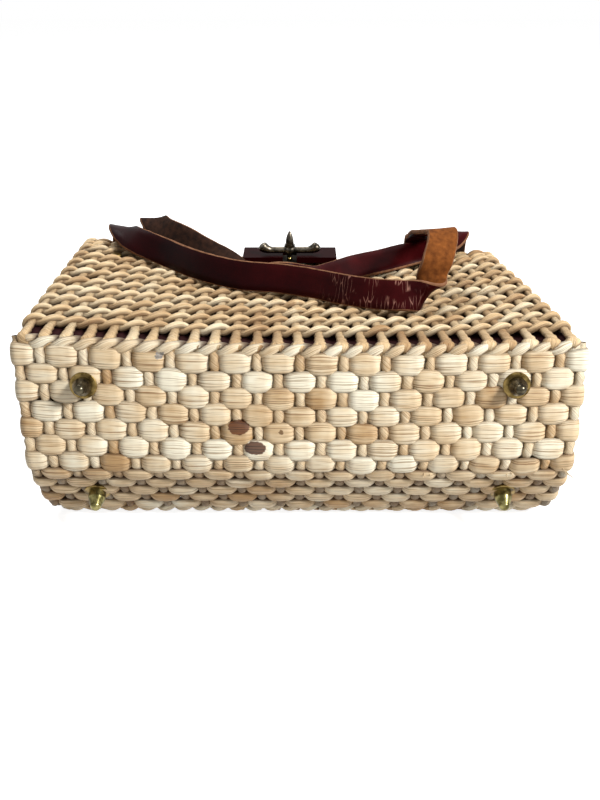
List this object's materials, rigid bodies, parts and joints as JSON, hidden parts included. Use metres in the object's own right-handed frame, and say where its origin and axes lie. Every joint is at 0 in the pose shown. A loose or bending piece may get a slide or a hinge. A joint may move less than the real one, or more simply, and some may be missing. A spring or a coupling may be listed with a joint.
{
  "type": "straw tote bag",
  "caption": "Box-shaped woven straw handbag lying on its back, with slack leather strap handles, base feet, a cloth lining and a turning bar clasp over a leather tab.",
  "frame": {"origin": "middle of the back wall's resting face, on the row of weaving under the bag's middle", "axes": "+X along the width to the right seen from the base, +Y from the base to the mouth, +Z from the back wall to the front wall"},
  "size_m": [0.3256, 0.2148, 0.1615],
  "materials": {
    "straw": "woven, dry, uneven",
    "lining_cloth": "dull dark maroon",
    "leather": "glossy, creased",
    "foot_metal": "tarnished",
    "washer_brass": "tarnished",
    "rivet_brass": "satin",
    "clasp_metal": "darkened bronze"
  },
  "bodies": {
    "bag": {"back_handle": "leather", "back_left_foot_backing": "rivet_brass", "back_left_foot_stud": "foot_metal", "back_left_foot_washer": "washer_brass", "back_left_handle_rivet": "rivet_brass", "back_right_foot_backing": "rivet_brass", "back_right_foot_stud": "foot_metal", "back_right_foot_washer": "washer_brass", "back_right_handle_rivet": "rivet_brass", "clasp_backing": "clasp_metal", "clasp_finial": "clasp_metal", "clasp_plate": "clasp_metal", "clasp_post": "clasp_metal", "closure_tab": "leather", "front_handle": "leather", "front_left_foot_backing": "rivet_brass", "front_left_foot_stud": "foot_metal", "front_left_foot_washer": "washer_brass", "front_left_handle_rivet": "rivet_brass", "front_right_foot_backing": "rivet_brass", "front_right_foot_stud": "foot_metal", "front_right_foot_washer": "washer_brass", "front_right_handle_rivet": "rivet_brass", "lining": "lining_cloth", "tab_rivets": "rivet_brass", "woven_body": "straw"},
    "toggle": {"clasp_toggle": "clasp_metal"}
  },
  "joints": [
    {"name": "toggle_turn", "type": "hinge", "parent": "bag", "child": "toggle", "pos_m": [-0.0074, 0.0575, 0.127], "axis": [0, 0, 1], "range_deg": [0, 90]}
  ]
}
